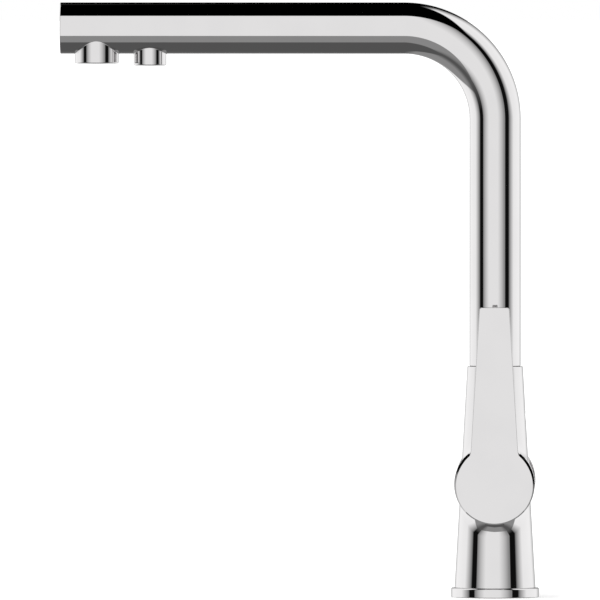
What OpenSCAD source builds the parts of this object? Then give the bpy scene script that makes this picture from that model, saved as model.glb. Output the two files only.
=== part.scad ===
// Three-way drinking water filter tap: a swivelling spout with two outlets on a slim cone body,
// a mixer lever on one end of the cross barrel and a filtered-water lever on the other.
// Millimetres, +Z up, the spout points to -X and the mixer lever is on the -Y side.
// The origin is the middle of the foot, on the worktop.

/* [Spout] */
// outside diameter of the spout tube
tube_d = 28; // [26:0.5:32]
// wall of the spout tube
tube_wall = 1.2; // [1:0.1:2]
// height of the arm's axis above the worktop
arm_z = 310.4; // [260:1:360]
// from the main outlet's axis to the closed end of the arm
tip_len = 20; // [17:0.5:40]
// radius of the bend's centre line
bend_r = 49.5; // [40:0.5:60]
// length of the plug in the arm's end
plug_len = 6; // [4:0.5:8]

/* [Outlets] */
// from the riser's axis to the main outlet
main_reach = 217.4; // [180:1:260]
// outside diameter of the main outlet collar
main_d = 24; // [22:0.5:25]
// how far the main collar stands below the tube
main_drop = 5.3; // [4:0.1:9]
// from the main outlet's axis to the filter outlet's axis
outlet_pitch = 29; // [25:0.5:50]
// outside diameter of the filter outlet collar
filter_d = 18; // [16:0.5:19]
// how far the filter collar stands below the tube
filter_drop = 6.4; // [5:0.1:9]
// wall of both collars around their aerators
collar_wall = 1.3; // [1:0.1:2]
// height of the main aerator
main_aerator_h = 7.5; // [6:0.5:9]
// height of the filter aerator
filter_aerator_h = 6.1; // [5:0.1:7]
// height of both rubber washers
washer_h = 1.6; // [1:0.1:2]
// outside diameter of the inner filter tube
hose_d = 6; // [5:0.5:7]
// wall of the inner filter tube
hose_wall = 1; // [0.8:0.1:1.4]

/* [Body] */
// height of the body's top edge
body_top_z = 125.9; // [120:1:150]
// diameter of the body at its top
body_top_d = 30.3; // [30:0.1:34]
// diameter of the body where it meets the flange
body_foot_d = 44.2; // [42:0.5:46]
// diameter of the flange
flange_d = 48; // [44:0.5:60]
// height of the flange
flange_h = 5.1; // [4:0.1:8]
// width of the gasket in the flange's underside
gasket_w = 3.4; // [2:0.2:4]
// height of the gasket
gasket_h = 1.6; // [1:0.1:2.5]
// height of the levers' turning axis
barrel_z = 62.8; // [52:0.5:66]
// diameter of the cross barrel
barrel_d = 39.2; // [38.6:0.2:44]
// from the middle of the body to each end of the barrel
barrel_half = 33; // [32:0.5:45]
// depth of both valve chambers from the barrel's ends
valve_depth = 23; // [22:0.5:25]
// radius of the rounded inside corner between the barrel and the cone
root_r = 9; // [4:0.2:9.4]
// thread hole for the fixing stud
stud_d = 6.8; // [5:0.1:7]
// thread hole for each of the three supply hoses
inlet_d = 9.2; // [8:0.1:9.6]
// depth of the stud hole and of the supply holes
thread_depth = 14; // [10:1:18]

/* [Levers] */
// diameter of the levers' round hub
hub_d = 43.8; // [42:0.2:50]
// gap between the barrel's end and the hub's open rim
lever_gap = 3.5; // [3:0.5:8]
// depth of the hub from its face to its open rim
hub_depth = 13; // [11:0.5:18]
// height of the levers' tips
lever_tip_z = 159; // [130:1:180]
// width of the blade at its tip
lever_tip_w = 16.2; // [12:0.2:20]
// width of the blade where it meets the hub
lever_root_w = 25.5; // [20:0.5:30]
// thickness of the blade and of the hub's face
lever_t = 6; // [4:0.5:7]
// rounding of the levers' edges
lever_edge = 0.6; // [0.4:0.1:2]
// width of the square stem ends in the levers
stem_w = 7; // [6:0.2:7.2]

/* [Movement] */
// swing of the spout to either side
swivel_limit = 70; // [30:5:75]
// outward tilt of the mixer lever when fully open
tilt_limit = 20; // [10:1:20]

/* [Fits] */
// gap between round faces that turn in one another
run_gap = 0.05; // [0.02:0.01:0.1]
// gap between fixed pieces
seat_gap = 0.02; // [0.01:0.01:0.05]

/* [Hidden] */
$fn = 96;
eps = 0.01;

tube_r = tube_d / 2;
tube_ir = tube_r - tube_wall;
riser_z = body_top_z + 0.6;
arm_reach = main_reach + tip_len;
filter_reach = main_reach - outlet_pitch;
plug_face_t = 2;

cone_slope = (body_foot_d - body_top_d) / 2 / (body_top_z - flange_h);
cone_lean = atan(cone_slope);
function cone_r(z) = body_foot_d / 2 - cone_slope * (z - flange_h);

gasket_ro = flange_d / 2 - 2;
gasket_ri = gasket_ro - gasket_w;
spigot_r = gasket_ri - 1.6;
spigot_top = thread_depth + 4;
edge_r = 0.6;
foot_edge = 0.4;

tail_r = 10.8;
socket_r = tail_r + run_gap;
bush_r = 12.95;
bush_len = 10;
socket_floor = body_top_z - 36;
tail_foot = socket_floor + 2;
nozzle_r = 3.5;
nozzle_len = 8;
stop_z = body_top_z - 27.5;
stop_dog_r = 1.5;
stop_screw_r = 2.45;
groove_r = tail_r - 2;
groove_slack = 0.2;
stop_swing = swivel_limit + asin((stop_dog_r + groove_slack) / groove_r);
ring_r = 1;
nozzle_ring_r = 0.5;
filter_way_r = 2;
tail_way_r = 1.9;
tail_way_ring = 6;
key_r = 1.4;
tail_ring_z = [body_top_z - 14, body_top_z - 20];
nozzle_ring_z = socket_floor - 3;
tail_plug_top = riser_z + 20;
hose_foot = riser_z + 10;
hose_r = hose_d / 2;

seat = barrel_half - valve_depth;
bore_r = 16.6;
bore_slack = 0.1;
thread_r = 17.55;
neck_r = 14.8;
rotor_neck_r = 9.5;
ceramic_r = 12.5;
moving_r = 10.6;
pocket_r = 6.4;
pocket_at = 2.6;
pocket_h = 1.8;
slider_r = 11;
pin_r = 1.25;
pin_len = 18;
ball_r = 2.4;
stem_neck_r = 1.8;
notch = [6, 3, 3];
notch_at = 16.2;
cover_r = barrel_d / 2 - 0.5;
cover_bore_r = thread_r - 2.15;
port_seal_r = 3.67;
port_seal_t = 0.66;
shoulder = seat + 12;
base_top = seat + 4;
disc_top = base_top + 3.5;
moving_top = disc_top + 3.5;
slider_top = moving_top + 4;
ball_at = slider_top - 1.4;
pivot = ball_at + 6;
rotor_disc_top = slider_top + 3.4;
rotor_top = pivot + 3.8;
housing_top = rotor_disc_top + 1.8;
nut_top = shoulder + 7;
dome_top = barrel_half + 4;
rotor_r = 13.25;
rotor_slot = stem_w / cos(tilt_limit) + 2 * (pivot - slider_top) * tan(tilt_limit) + 1.2;
housing_ir = rotor_r + 2 * run_gap;
port = [8, -5];
port_out = [0, 8.8];
port_r = 2.4;
way_r = 2.4;
way_in = 5;
way_filter = 7;
way_out = 6.8;
way_spot = [[-port[0], -way_in], [port[0], -way_in], [0, way_filter]];
filter_out_up = 9.7;
way_top = [barrel_z + port[1], barrel_z + port[1], barrel_z];
way_seal_r = way_r + 1.8;
way_seal_h = 1.5;
inlet_ring = 9.4;
inlet_turn = 97.5;
inlet_spot = [for (i = [0 : 2]) inlet_ring * [cos(inlet_turn + 120 * i), sin(inlet_turn + 120 * i)]];

hub_r = hub_d / 2;
hub_wall = 1.9;
hub_ir = hub_r - hub_wall;
hub_round = 1.05;
hub_bevel = 0.45;
hub_rim = barrel_half + lever_gap;
lever_face = hub_rim + hub_depth;
hub_floor = lever_face - lever_t;
boss_r = 7.5;
boss_rim = hub_rim + 1;
screw_at = hub_floor - 3;
screw_r = 2;
plug_r = 2.5;

valve_seat = seat + 1;
valve_disc_top = valve_seat + 3;
valve_moving_top = valve_disc_top + 3;
valve_shoulder = seat + 10;
valve_flange = seat + 17;
valve_bonnet = barrel_half + 2;
valve_r = 9.3;
valve_way_r = 2.5;
valve_thread_r = 10.4;
valve_waist_r = 8.4;
valve_bore_r = 7.2;
valve_nut_r = 13.8;
valve_nut_h = 4;
valve_neck_r = 8;
valve_window = [30, 5, 3];
valve_port_r = 1.6;
valve_port_at = 3;
valve_moving_r = 6.8;
spindle_r = 5;
spindle_ring_r = 0.55;
clip_r = 7;
clip_h = 0.9;

main_r = main_d / 2;
main_foot = arm_z - tube_r - main_drop;
main_bore_r = main_r - collar_wall;
main_ledge = main_foot + 0.4 + main_aerator_h + washer_h;
main_top = max(arm_z - sqrt(tube_ir * tube_ir - main_r * main_r) + 0.8, main_ledge + 1.5);
filter_r = filter_d / 2;
filter_foot = arm_z - tube_r - filter_drop;
filter_bore_r = filter_r - collar_wall;
filter_ledge = filter_foot + 0.4 + filter_aerator_h + washer_h;
filter_top = max(arm_z - sqrt(tube_ir * tube_ir - filter_r * filter_r) + 0.8, filter_ledge + 1.5);
elbow_r = hose_r + 1.2;
elbow_seat = 9;
elbow_run = 8;

// Lays a shape drawn about +Z on the barrel's axis, its +Z pointing out of the mixer end (-Y).
module on_mixer_axis() {
    translate([0, 0, barrel_z])
        rotate([90, 0, 0])
            children();
}

// The same for the filter end (+Y), as a mirror image.
module on_filter_axis() {
    mirror([0, 1, 0])
        on_mixer_axis()
            children();
}

// A straight round bar between two heights.
module bar(r, z0, z1) {
    translate([0, 0, z0])
        cylinder(r = r, h = z1 - z0);
}

// A ring between two heights.
module ring(ro, ri, z0, z1) {
    difference() {
        bar(ro, z0, z1);
        bar(ri, z0 - 1, z1 + 1);
    }
}

// A rubber ring of round section about Z.
module round_ring(r, section, z) {
    translate([0, 0, z])
        rotate_extrude()
            translate([r, 0])
                circle(r = section, $fn = 32);
}

// The spout's centre line filled to radius r: riser from z0, bend, arm to reach.
module spout_path(r, z0, reach) {
    bar(r, z0, arm_z - bend_r);
    translate([-bend_r, 0, arm_z - bend_r])
        rotate([90, 0, 0])
            rotate_extrude(angle = 90)
                translate([bend_r, 0])
                    circle(r = r);
    translate([-bend_r, 0, arm_z])
        rotate([0, -90, 0])
            cylinder(r = r, h = reach - bend_r);
}

// Rounded inside corner between barrel and cone: a ball of root_r rolls along both faces.
// Each section is the ball's arc from the barrel to the cone, closed by a point inside the metal.
root_in = 0.15;
root_steps = 7;
root_turns = 24;
ball_reach = barrel_d / 2 - root_in + root_r;
function ball_z(p) = barrel_z + ball_reach * sin(p);
function ball_q(p) = cone_r(ball_z(p)) - root_in + root_r / cos(cone_lean);
function ball_gap(p) = pow(ball_q(p), 2) - pow(ball_reach * cos(p), 2);
function side_start(lo, hi, left) =
    left == 0 ? hi : let(mid = (lo + hi) / 2)
        ball_gap(mid) > 0 ? side_start(lo, mid, left - 1) : side_start(mid, hi, left - 1);
function unit(v) = v / norm(v);
function root_section(p, side) =
    let(x = ball_reach * cos(p),
        z = ball_z(p),
        y = side * sqrt(max(0, ball_gap(p))),
        q = ball_q(p),
        to_barrel = [-cos(p), 0, -sin(p)],
        to_cone = [-x / q * cos(cone_lean), -y / q * cos(cone_lean), -sin(cone_lean)],
        open = acos(to_barrel * to_cone),
        deep = root_r / cos(open / 2) + 2)
    concat([for (i = [0 : root_steps])
            let(t = i / root_steps)
            [x, y, z] + root_r * (sin((1 - t) * open) * to_barrel + sin(t * open) * to_cone) / sin(open)],
        [[x, y, z] + deep * unit(to_barrel + to_cone)]);

module root_fillet(up) {
    start = up * side_start(2, 60, 24);
    step = (180 - 2 * abs(start)) / root_turns;
    turns = [for (i = [0 : root_turns]) start + up * i * step];
    near = [for (p = turns) root_section(p, -1)];
    far = [for (i = [1 : root_turns - 1]) root_section(turns[root_turns - i], 1)];
    loop = concat(near, far);
    n = len(loop);
    m = root_steps + 2;
    points = [for (s = loop) for (p = s) p];
    quads = [for (i = [0 : n - 1]) for (j = [0 : m - 1])
        let(a = i * m + j,
            b = i * m + (j + 1) % m,
            c = (i + 1) % n * m + (j + 1) % m,
            d = (i + 1) % n * m + j)
        up > 0 ? [[a, c, b], [a, d, c]] : [[a, b, c], [a, c, d]]];
    polyhedron(points, [for (q = quads) for (t = q) t], convexity = 6);
}

module body_outside() {
    rotate_extrude()
        polygon([[0, flange_h], [body_foot_d / 2, flange_h],
            [cone_r(body_top_z - edge_r), body_top_z - edge_r],
            [body_top_d / 2 - edge_r, body_top_z], [0, body_top_z]]);
    translate([0, 0, barrel_z])
        rotate([90, 0, 0])
            cylinder(r = barrel_d / 2, h = 2 * barrel_half, center = true);
    root_fillet(1);
    root_fillet(-1);
}

// Chromed brass cone with the cross barrel, the swivel socket, the valve chambers and the waterways.
module body_casting() {
    color("silver")
        difference() {
            body_outside();
            bar(spigot_r + seat_gap, flange_h - 1, spigot_top + seat_gap);
            bar(socket_r, socket_floor, body_top_z + 1);
            bar(bush_r + seat_gap, body_top_z - bush_len, body_top_z + 1);
            bar(nozzle_r + run_gap, socket_floor - nozzle_len + 1, socket_floor + 1);
            translate([0, 0, stop_z])
                rotate([0, 90, 0])
                    bar(stop_screw_r + seat_gap, tail_r - 1, cone_r(stop_z) + 1);
            on_mixer_axis() {
                bar(bore_r, seat, barrel_half + 1);
                bar(thread_r, shoulder, barrel_half + 1);
                for (s = [-1, 1])
                    translate([s * port[0], port[1], 0])
                        bar(port_r, way_in, seat + 1);
                translate([port_out[0], port_out[1], 0])
                    bar(port_r, way_out, seat + 1);
            }
            on_filter_axis() {
                bar(valve_r + bore_slack, seat, barrel_half + 1);
                bar(valve_thread_r + run_gap, valve_shoulder, barrel_half + 1);
                bar(thread_r, valve_flange, barrel_half + 1);
                bar(valve_way_r, way_filter - 1, seat + 1);
                translate([0, filter_out_up, 0])
                    bar(filter_way_r, 0, seat + 8);
            }
            for (i = [0 : 2])
                translate(way_spot[i])
                    bar(way_r, spigot_top, way_top[i]);
            translate([0, -way_out, 0])
                bar(port_r, barrel_z + port_out[1], socket_floor + 1);
            bar(filter_way_r, barrel_z + filter_out_up, socket_floor);
        }
}

// Turned foot: the chromed flange, with a spigot that screws up into the body. It is grooved below for the
// gasket, and drilled for the stud and the three supply hoses, whose ways go on into the body.
module base_flange() {
    color("silver")
        difference() {
            rotate_extrude()
                polygon([[0, 0], [gasket_ri, 0], [gasket_ri, gasket_h], [gasket_ro, gasket_h],
                    [gasket_ro, 0], [flange_d / 2 - foot_edge, 0], [flange_d / 2, foot_edge],
                    [flange_d / 2, flange_h - edge_r], [flange_d / 2 - edge_r, flange_h],
                    [spigot_r, flange_h], [spigot_r, spigot_top], [0, spigot_top]]);
            bar(stud_d / 2, -1, thread_depth);
            for (p = inlet_spot)
                translate(p)
                    bar(inlet_d / 2, -1, thread_depth);
            for (p = way_spot)
                translate(p) {
                    bar(way_r, thread_depth - 1, spigot_top + 1);
                    bar(way_seal_r + seat_gap, spigot_top - way_seal_h, spigot_top + 1);
                }
        }
}

// Rubber rings around the three waterways, between the foot and the body.
module foot_seals() {
    color("dimgray")
        for (p = way_spot)
            translate(p)
                ring(way_seal_r, way_r + 0.2, spigot_top - way_seal_h, spigot_top);
}

module base_gasket() {
    color("dimgray")
        ring(gasket_ro - seat_gap, gasket_ri + seat_gap, 0, gasket_h);
}

// Plain bearing in the body's top, its lip carries the riser.
module swivel_bush() {
    color("dimgray")
        difference() {
            union() {
                bar(bush_r, body_top_z - bush_len, body_top_z + eps);
                bar(tube_r - 0.3, body_top_z, riser_z - run_gap);
            }
            bar(tail_r + run_gap, body_top_z - bush_len - 1, riser_z + 1);
        }
}

// Grub screw in the back of the body, its point runs in the tail's groove and stops the swing.
module stop_screw() {
    color("gray")
        translate([0, 0, stop_z])
            rotate([0, 90, 0])
                difference() {
                    union() {
                        bar(stop_dog_r, groove_r + 0.4, tail_r + 1);
                        bar(stop_screw_r, tail_r + 0.4, cone_r(stop_z) - 0.5);
                    }
                    translate([0, 0, cone_r(stop_z) - 3])
                        cylinder(r = key_r, h = 4, $fn = 6);
                }
}

module ports(r, z0, z1) {
    for (s = [-1, 1])
        translate([s * port[0], port[1], 0])
            bar(r, z0, z1);
    translate([port_out[0], port_out[1], 0])
        bar(r, z0, z1);
}

// Mixer cartridge: base with three ports and a groove around each for its seal.
module cartridge_base() {
    color("ivory")
        on_mixer_axis()
            difference() {
                bar(bore_r - bore_slack, seat, base_top);
                ports(port_r, seat - 1, base_top + 1);
                for (p = [[-port[0], port[1]], port, port_out])
                    translate([p[0], p[1], 0])
                        ring(port_seal_r + port_seal_t + 0.07, port_seal_r - port_seal_t - 0.06,
                            seat - 1, seat + 2 * port_seal_t + 0.03);
            }
}

module port_seals() {
    color("dimgray")
        on_mixer_axis()
            for (p = [[-port[0], port[1]], port, port_out])
                translate([p[0], p[1], 0])
                    round_ring(port_seal_r, port_seal_t, seat + port_seal_t + 0.01);
}

module fixed_disc() {
    color("white")
        on_mixer_axis()
            difference() {
                bar(ceramic_r, base_top, disc_top);
                ports(port_r - 0.2, base_top - 1, disc_top + 1);
            }
}

module cartridge_housing() {
    color("ivory")
        on_mixer_axis()
            difference() {
                union() {
                    bar(bore_r - bore_slack, base_top, shoulder);
                    bar(neck_r, base_top, housing_top);
                }
                bar(housing_ir, base_top - 1, rotor_disc_top + 0.1);
                bar(rotor_neck_r + 0.2, base_top, housing_top + 1);
            }
}

// Brass ring nut that holds the cartridge, with spanner notches in its face.
module cartridge_nut() {
    color("goldenrod")
        on_mixer_axis()
            difference() {
                ring(thread_r - run_gap, neck_r + run_gap, shoulder, nut_top);
                for (a = [0 : 60 : 300])
                    rotate([0, 0, a])
                        translate([notch_at, 0, nut_top])
                            cube(notch, center = true);
            }
}

// Chromed cover ring: a spherical zone about the lever's pivot, its skirt in the barrel's mouth.
module cover_ring() {
    color("silver")
        difference() {
            union() {
                bar(thread_r - run_gap, nut_top, barrel_half + eps);
                intersection() {
                    translate([0, 0, pivot])
                        sphere(r = cover_r);
                    bar(cover_r + 1, barrel_half, dome_top);
                }
            }
            bar(cover_bore_r, nut_top - 1, dome_top + 1);
        }
}

module mixer_cover() {
    on_mixer_axis()
        cover_ring();
}

module filter_cover() {
    on_filter_axis()
        cover_ring();
}

// Rotor of the mixer: turns with the lever, slotted for the stem, drilled for the pivot pin.
module mixer_rotor() {
    color("ivory")
        on_mixer_axis()
            difference() {
                union() {
                    bar(rotor_r, slider_top + 0.2, rotor_disc_top);
                    bar(rotor_neck_r, slider_top + 0.2, rotor_top);
                }
                translate([0, 0, pivot])
                    cube([stem_w + 0.6, rotor_slot, 20], center = true);
                translate([0, 0, pivot])
                    rotate([0, 90, 0])
                        cylinder(r = pin_r + seat_gap, h = 2 * pin_len, center = true);
            }
}

module pivot_pin() {
    color("gray")
        on_mixer_axis()
            translate([0, 0, pivot])
                rotate([0, 90, 0])
                    cylinder(r = pin_r, h = pin_len, center = true);
}

// Upper ceramic disc with its mixing pocket.
module moving_disc() {
    color("white")
        on_mixer_axis()
            difference() {
                bar(moving_r, disc_top, moving_top);
                translate([0, pocket_at, 0])
                    bar(pocket_r, disc_top - 1, disc_top + pocket_h);
            }
}

module disc_slider() {
    color("ivory")
        on_mixer_axis()
            ring(slider_r, ball_r + 0.1, moving_top, slider_top);
}

// Lever: a round cup hub and a flat blade with one flat face, drawn with the blade along +Y.
module lever() {
    tip = lever_tip_z - barrel_z;
    root = hub_r * 0.75;
    difference() {
        union() {
            rotate_extrude()
                polygon([[0, hub_rim], [hub_r - foot_edge, hub_rim], [hub_r, hub_rim + foot_edge],
                    [hub_r, lever_face - hub_bevel], [hub_r - hub_round, lever_face], [0, lever_face]]);
            hull() {
                for (s = [-1, 1]) {
                    for (f = [lever_face - lever_edge, hub_floor + lever_edge]) {
                        translate([s * (lever_tip_w / 2 - lever_edge), tip - lever_edge, f])
                            sphere(r = lever_edge, $fn = 24);
                        translate([s * (lever_root_w / 2 - lever_edge), root, f])
                            sphere(r = lever_edge, $fn = 24);
                    }
                }
            }
        }
        difference() {
            bar(hub_ir, hub_rim - 1, hub_floor);
            bar(boss_r, boss_rim, hub_floor + 1);
        }
        translate([0, 0, (boss_rim + hub_floor) / 2])
            cube([stem_w + 0.1, stem_w + 0.1, hub_floor - boss_rim + eps], center = true);
        translate([0, 0, screw_at])
            rotate([90, 0, 0])
                bar(screw_r + seat_gap, 1, boss_r + 1);
        translate([0, 0, screw_at])
            rotate([90, 0, 0])
                bar(plug_r + seat_gap, boss_r + 2, hub_r + 1);
    }
}

module mixer_lever() {
    color("silver")
        on_mixer_axis()
            lever();
}

// Steel stem: a ball in the slider, a cross hole for the pin, a square end in the lever.
module mixer_stem() {
    color("gray")
        on_mixer_axis()
            difference() {
                union() {
                    translate([0, 0, ball_at])
                        sphere(r = ball_r);
                    bar(stem_neck_r, ball_at, pivot);
                    translate([0, 0, (pivot - 3.4 + hub_floor - 0.3) / 2])
                        cube([stem_w, stem_w, hub_floor - 0.3 - pivot + 3.4], center = true);
                }
                translate([0, 0, pivot])
                    rotate([0, 90, 0])
                        cylinder(r = pin_r + run_gap, h = 2 * pin_len, center = true);
            }
}

// Grub screw in the hub's boss, reached through the hole in the hub's underside.
module lever_screw() {
    color("gray")
        translate([0, 0, screw_at])
            rotate([90, 0, 0])
                difference() {
                    bar(screw_r, stem_w / 2 + eps, boss_r - 0.3);
                    translate([0, 0, boss_r - 2.5])
                        cylinder(r = 1.1, h = 4, $fn = 6);
                }
}

// Plug that closes the screw hole, flush with the hub.
module lever_plug() {
    color("gray")
        intersection() {
            translate([0, 0, screw_at])
                rotate([90, 0, 0])
                    bar(plug_r, hub_ir, hub_r + 1);
            bar(hub_r - 0.1, hub_rim, lever_face);
        }
}

module mixer_screw() {
    on_mixer_axis()
        lever_screw();
}

module mixer_plug() {
    on_mixer_axis()
        lever_plug();
}

module filter_lever() {
    color("silver")
        on_filter_axis()
            lever();
}

module filter_screw() {
    on_filter_axis()
        lever_screw();
}

module filter_plug() {
    on_filter_axis()
        lever_plug();
}

// Filter valve: rubber seat, brass body with side windows, two ceramic discs, spindle.
module valve_seal() {
    color("dimgray")
        on_filter_axis()
            ring(valve_r - 0.7, way_r + 2.1, seat, valve_seat);
}

module valve_body() {
    color("goldenrod")
        on_filter_axis()
            difference() {
                union() {
                    bar(valve_r, valve_seat, valve_disc_top + 0.5);
                    bar(valve_waist_r, valve_seat, valve_shoulder);
                    bar(valve_r, valve_shoulder - 1, valve_shoulder);
                    bar(valve_thread_r, valve_shoulder, valve_flange);
                    translate([0, 0, valve_flange])
                        cylinder(r = valve_nut_r, h = valve_nut_h, $fn = 6);
                    bar(valve_neck_r, valve_flange, valve_bonnet);
                }
                bar(valve_bore_r, valve_seat - 1, valve_shoulder - 1);
                bar(spindle_r + run_gap, valve_seat, valve_bonnet + 1);
                translate([0, 0, valve_moving_top + 0.5])
                    cube(valve_window, center = true);
            }
}

module valve_fixed_disc() {
    color("white")
        on_filter_axis()
            difference() {
                bar(valve_bore_r - 0.1, valve_seat, valve_disc_top);
                for (s = [-1, 1])
                    translate([s * valve_port_at, 0, 0])
                        bar(valve_port_r, valve_seat - 1, valve_disc_top + 1);
            }
}

module valve_moving_disc() {
    color("white")
        on_filter_axis()
            difference() {
                bar(valve_moving_r, valve_disc_top, valve_moving_top);
                for (s = [-1, 1])
                    translate([0, s * valve_port_at, 0])
                        bar(valve_port_r, valve_disc_top - 1, valve_moving_top + 1);
            }
}

module filter_spindle() {
    color("goldenrod")
        on_filter_axis()
            difference() {
                union() {
                    bar(valve_moving_r, valve_moving_top, valve_shoulder - 1.3);
                    bar(spindle_r, valve_moving_top, valve_bonnet + clip_h + 0.2);
                    translate([0, 0, (valve_bonnet + hub_floor - 0.3) / 2])
                        cube([stem_w - 0.1, stem_w - 0.1, hub_floor - 0.3 - valve_bonnet], center = true);
                }
                ring(spindle_r + 1, spindle_r - 1.1, valve_flange - 1.8, valve_flange - 0.6);
                ring(spindle_r + 1, spindle_r - 1, valve_bonnet + 0.1, valve_bonnet + clip_h + 0.1);
            }
}

module spindle_ring() {
    color("dimgray")
        on_filter_axis()
            round_ring(spindle_r + seat_gap - spindle_ring_r, spindle_ring_r, valve_flange - 1.2);
}

module spindle_clip() {
    color("gray")
        on_filter_axis()
            difference() {
                ring(clip_r, spindle_r - 1 + seat_gap,
                    valve_bonnet + 0.1 + seat_gap, valve_bonnet + 0.1 + clip_h - seat_gap);
                translate([0, -5, valve_bonnet])
                    cube([4.5, 8, 6], center = true);
            }
}

// Bent chromed tube, open below where the two collars are brazed in.
module spout_tube() {
    color("silver")
        difference() {
            spout_path(tube_r, riser_z, arm_reach);
            spout_path(tube_ir, riser_z - 1, arm_reach + 1);
            translate([-main_reach, 0, 0])
                bar(main_r + seat_gap, arm_z - 30, arm_z - 1);
            translate([-filter_reach, 0, 0])
                bar(filter_r + seat_gap, arm_z - 30, arm_z - 1);
        }
}

module end_plug() {
    color("silver")
        translate([-arm_reach, 0, arm_z])
            rotate([0, 90, 0])
                difference() {
                    bar(tube_ir - seat_gap, 0, plug_len);
                    bar(tube_ir - 2, plug_face_t, plug_len + 1);
                }
}

// Brass swivel tail: plug in the riser, six mixed-water ways, filtered way and nozzle in the middle.
module spout_tail() {
    color("goldenrod")
        difference() {
            union() {
                bar(tube_ir - seat_gap, riser_z, tail_plug_top);
                bar(tail_r, tail_foot, riser_z + eps);
                bar(nozzle_r, socket_floor - nozzle_len + 2, tail_foot + 1);
            }
            bar(filter_way_r, socket_floor - nozzle_len, tail_plug_top);
            bar(hose_r + seat_gap, hose_foot, tail_plug_top + 1);
            for (a = [0 : 60 : 300])
                rotate([0, 0, a])
                    translate([tail_way_ring, 0, 0])
                        bar(tail_way_r, tail_foot - 1, tail_plug_top + 1);
            for (z = tail_ring_z)
                ring(tail_r + 1, groove_r, z - 1.3, z + 1.3);
            ring(nozzle_r + 1, nozzle_r - 1, nozzle_ring_z - 0.7, nozzle_ring_z + 0.7);
            rotate([0, 0, -stop_swing])
                translate([0, 0, stop_z])
                    rotate_extrude(angle = 2 * stop_swing)
                        translate([groove_r, -stop_dog_r - groove_slack])
                            square([4, 2 * (stop_dog_r + groove_slack)]);
        }
}

module tail_rings() {
    color("dimgray")
        for (z = tail_ring_z)
            round_ring(groove_r + ring_r + seat_gap, ring_r, z);
}

module nozzle_ring() {
    color("dimgray")
        round_ring(nozzle_r + seat_gap - nozzle_ring_r, nozzle_ring_r, nozzle_ring_z);
}

module main_collar() {
    color("silver")
        translate([-main_reach, 0, 0])
            difference() {
                bar(main_r, main_foot, main_top);
                bar(main_bore_r, main_foot - 1, main_ledge);
                bar(main_bore_r - 3, main_foot, main_top + 1);
            }
}

// Aerator with a grid of drilled holes, recessed in its collar.
module aerator(r, z, h, pitch, rows) {
    difference() {
        bar(r, z, z + h);
        bar(r - 1.5, z - 1, z + 1);
        bar(r - 1.5, z + 3.5, z + h + 1);
        for (i = [-rows : rows])
            for (j = [-rows : rows])
                if (norm([i + j / 2, j * 0.866]) * pitch < r - 1.5 - pitch * 0.45)
                    translate([(i + j / 2) * pitch, j * 0.866 * pitch, 0])
                        bar(pitch * 0.38, z, z + h);
    }
}

module main_aerator() {
    color("gainsboro")
        translate([-main_reach, 0, 0])
            aerator(main_bore_r - run_gap, main_foot + 0.4, main_aerator_h, 2.6, 4);
}

module main_screen() {
    color("gray")
        translate([-main_reach, 0, 0])
            bar(main_bore_r - 1.5 - 2 * run_gap, main_foot + 3.9, main_foot + 4.5);
}

module main_seal() {
    color("dimgray")
        translate([-main_reach, 0, 0])
            ring(main_bore_r - run_gap, main_bore_r - 2.6, main_ledge - washer_h, main_ledge);
}

module filter_collar() {
    color("silver")
        translate([-filter_reach, 0, 0])
            difference() {
                bar(filter_r, filter_foot, filter_top);
                bar(filter_bore_r, filter_foot - 1, filter_ledge);
                bar(elbow_r + seat_gap, filter_foot, filter_top + 1);
            }
}

module filter_aerator() {
    color("gainsboro")
        translate([-filter_reach, 0, 0])
            aerator(filter_bore_r - run_gap, filter_foot + 0.4, filter_aerator_h, 2.6, 3);
}

module filter_seal() {
    color("dimgray")
        translate([-filter_reach, 0, 0])
            ring(filter_bore_r - run_gap, elbow_r + 0.4, filter_ledge - washer_h, filter_ledge);
}

// Drilled brass elbow: a square block on the arm's axis, a spigot down into the filter collar
// and a socket towards the riser for the inner tube.
module filter_elbow() {
    color("goldenrod")
        translate([-filter_reach, 0, 0])
            difference() {
                union() {
                    bar(elbow_r, filter_ledge, arm_z);
                    translate([0, 0, arm_z])
                        cube(2 * elbow_r + 1, center = true);
                    translate([0, 0, arm_z])
                        rotate([0, 90, 0])
                            bar(elbow_r, 0, elbow_seat + elbow_run);
                }
                bar(hose_r - hose_wall, filter_ledge - 1, arm_z + 1);
                translate([0, 0, arm_z])
                    rotate([0, 90, 0]) {
                        bar(hose_r - hose_wall - 0.1, 0, elbow_seat + 1);
                        bar(hose_r + seat_gap, elbow_seat, elbow_seat + elbow_run + 1);
                    }
            }
}

// Inner tube for the filtered water, from the tail along the spout's centre line to the elbow.
module inner_hose() {
    color("whitesmoke")
        difference() {
            spout_path(hose_r, hose_foot, filter_reach - elbow_seat - seat_gap);
            spout_path(hose_r - hose_wall, hose_foot - 1, filter_reach);
        }
}

body_casting();
base_flange();
base_gasket();
foot_seals();
swivel_bush();
stop_screw();
cartridge_base();
port_seals();
fixed_disc();
cartridge_housing();
cartridge_nut();
mixer_cover();
valve_seal();
valve_body();
valve_fixed_disc();
filter_cover();
spout_tube();
end_plug();
spout_tail();
tail_rings();
nozzle_ring();
main_collar();
main_aerator();
main_screen();
main_seal();
filter_collar();
filter_aerator();
filter_seal();
filter_elbow();
inner_hose();
mixer_rotor();
pivot_pin();
moving_disc();
disc_slider();
mixer_lever();
mixer_stem();
mixer_screw();
mixer_plug();
filter_lever();
filter_spindle();
spindle_ring();
spindle_clip();
valve_moving_disc();
filter_screw();
filter_plug();
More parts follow.
